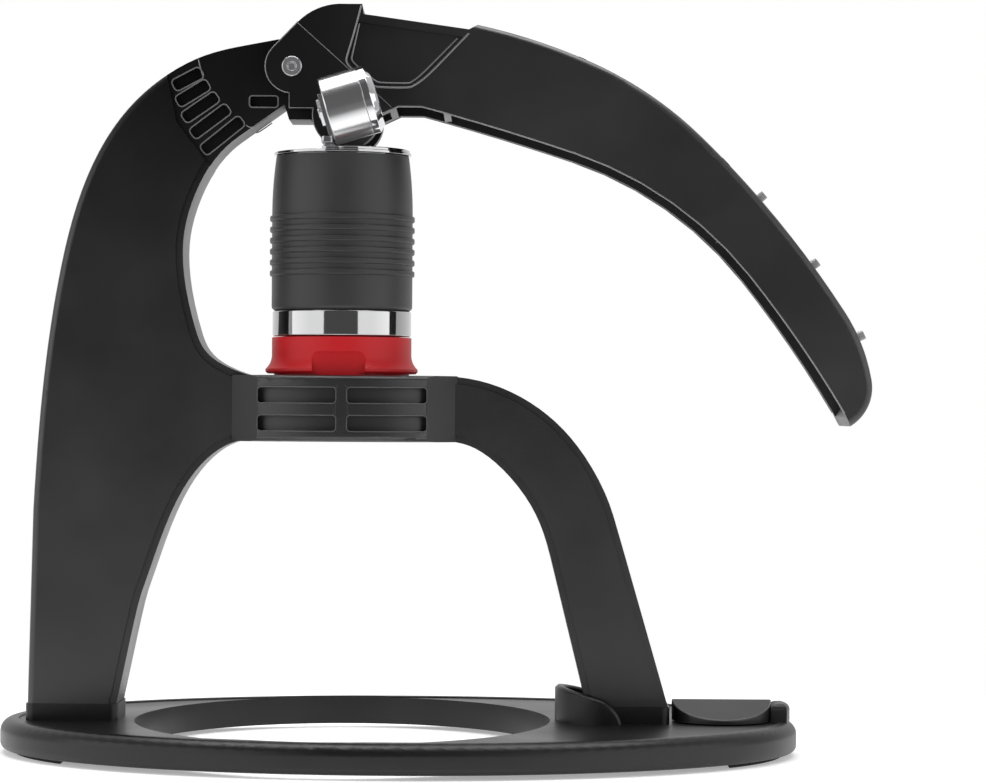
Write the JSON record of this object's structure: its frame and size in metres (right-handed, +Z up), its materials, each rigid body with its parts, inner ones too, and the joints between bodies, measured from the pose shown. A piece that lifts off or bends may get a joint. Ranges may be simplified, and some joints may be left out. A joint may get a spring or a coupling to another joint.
{
  "type": "manual espresso maker",
  "caption": "Hand lever espresso press: an arched frame on an oval base ring, a curved lever that drives a piston, a ribbed brew head over a red filter holder, and a side pressure gauge.",
  "frame": {"origin": "middle of the bounding box on the worktop, under the rubber pads", "axes": "+X along the base towards the user and the lever's tip, +Y away from the side the gauge stands on, +Z up"},
  "size_m": [0.2957, 0.176, 0.2539],
  "materials": {
    "black_moulding": "satin black moulded plastic with a fine grain",
    "lever_moulding": "satin black moulded plastic with a fine grain",
    "pad_rubber": "matte dark rubber",
    "knob_plastic": "satin black plastic",
    "steel": "bright turned steel",
    "polished_steel": "mirror polished steel",
    "bronze": "plain sintered bronze",
    "clear_nub": "milky clear plastic",
    "silicone": "matte dark grey silicone",
    "red_plastic": "red moulded plastic, soft gloss",
    "seal_rubber": "black sealing rubber",
    "piston_plastic": "dark grey plastic",
    "dial_white": "white printed plate, left bare",
    "lens_glass": "clear glass",
    "pointer_black": "black lacquered metal"
  },
  "bodies": {
    "stand": {"base_ring": "black_moulding", "foot_pads": "pad_rubber", "frame": "black_moulding", "hinge_bushes": "bronze"},
    "foot_lock": {"foot_lock_knob": "knob_plastic", "foot_lock_tongue": "steel", "foot_lock_screw": "steel"},
    "lever": {"lever_arm": "lever_moulding", "lever_nubs": "clear_nub", "hinge_pin": "steel", "pin_clip": "steel"},
    "brew_head": {"brew_cylinder": "polished_steel", "cylinder_sleeve": "silicone", "portafilter": "red_plastic", "portafilter_seal": "seal_rubber", "filter_basket": "steel", "dispersion_screen": "steel", "spout_insert": "piston_plastic"},
    "plunger": {"plunger_cap": "polished_steel", "piston_stem": "steel", "piston": "piston_plastic", "piston_seals": "seal_rubber", "piston_screw": "steel", "gauge_arm": "steel", "gauge_post": "steel", "gauge_nut": "steel", "gauge_case": "polished_steel", "gauge_bezel": "polished_steel", "gauge_lens": "lens_glass", "gauge_dial": "dial_white", "gauge_movement": "bronze", "bourdon_tube": "bronze"},
    "pointer": {"gauge_pointer": "pointer_black"}
  },
  "joints": [
    {"name": "lever_pivot", "type": "hinge", "parent": "stand", "child": "lever", "pos_m": [-0.0487, 0, 0.2328], "axis": [0, -1, 0], "range_deg": [0, 95]},
    {"name": "plunger_slide", "type": "slide", "parent": "stand", "child": "plunger", "axis": [0, 0, 1], "range_m": [0, 0.027]},
    {"name": "brew_head_turn", "type": "hinge", "parent": "stand", "child": "brew_head", "pos_m": [-0.0322, 0, 0.1287], "axis": [0, 0, 1], "continuous": true},
    {"name": "gauge_needle", "type": "hinge", "parent": "plunger", "child": "pointer", "pos_m": [-0.0287, -0.0323, 0.2184], "axis": [-0.9588, 0, -0.284], "range_deg": [0, 270], "stiffness_Nm_per_rad": 0.00002},
    {"name": "foot_lock_turn", "type": "hinge", "parent": "stand", "child": "foot_lock", "pos_m": [0.0987, 0, 0.0111], "axis": [0, 0, 1], "range_deg": [0, 90]}
  ],
  "couplings": [
    {"joint": "plunger_slide", "follows": "lever_pivot", "m_per_rad": 0.016}
  ]
}
